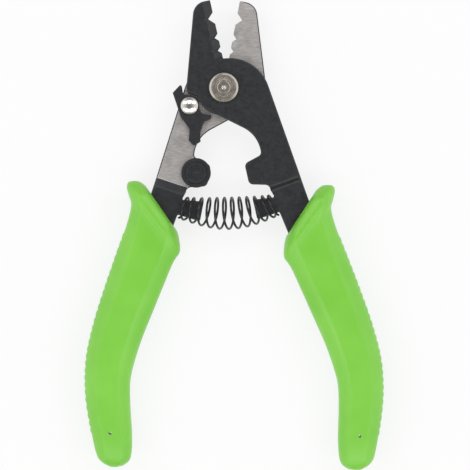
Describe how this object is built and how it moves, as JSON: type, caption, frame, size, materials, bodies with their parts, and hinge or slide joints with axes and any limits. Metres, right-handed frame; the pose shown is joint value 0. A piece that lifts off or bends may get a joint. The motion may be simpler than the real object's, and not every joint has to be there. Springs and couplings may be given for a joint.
{
  "type": "fibre stripper",
  "caption": "Hand-held fibre stripper: two crossed steel levers on one bolt, notched jaws, a shut-lock latch, a barrel return spring and moulded grips.",
  "frame": {"origin": "on the pivot bolt's axis, in the plane that the tool lies on (the nut's and bolt's lower faces)", "axes": "+Z along the bolt towards its head, +Y towards the jaw tips, +X towards the front lever's grip, with the tool open"},
  "size_m": [0.1034, 0.1628, 0.014],
  "materials": {
    "black_steel": "black oxide, satin",
    "ground_steel": "ground front face, satin",
    "nickel_steel": "turned and nickel plated",
    "bright_steel": "polished",
    "spring_steel": "black, semi-gloss",
    "green_plastic": "moulded, smooth"
  },
  "bodies": {
    "rear_half": {"rear_lever": "ground_steel", "pivot_bolt": "nickel_steel", "pivot_washer": "nickel_steel", "pivot_nut": "nickel_steel", "stop_stud": "black_steel", "latch_rivet": "bright_steel", "return_spring": "spring_steel", "left_grip": "green_plastic"},
    "front_half": {"front_lever": "black_steel", "right_grip": "green_plastic"},
    "latch": {"latch": "black_steel"}
  },
  "joints": [
    {"name": "handle_close", "type": "hinge", "parent": "rear_half", "child": "front_half", "pos_m": [0, 0, 0.00702], "axis": [0, 0, -1], "range_deg": [0, 23.4], "stiffness_Nm_per_rad": 1, "springref_deg": -14.32, "deforming": ["return_spring"]},
    {"name": "latch_swing", "type": "hinge", "parent": "rear_half", "child": "latch", "pos_m": [-0.01196, -0.006, 0.00702], "axis": [0, 0, -1], "range_deg": [0, 30]}
  ],
  "couplings": [
    {"joint": "latch_swing", "follows": "handle_close", "ratio": 1.28}
  ]
}
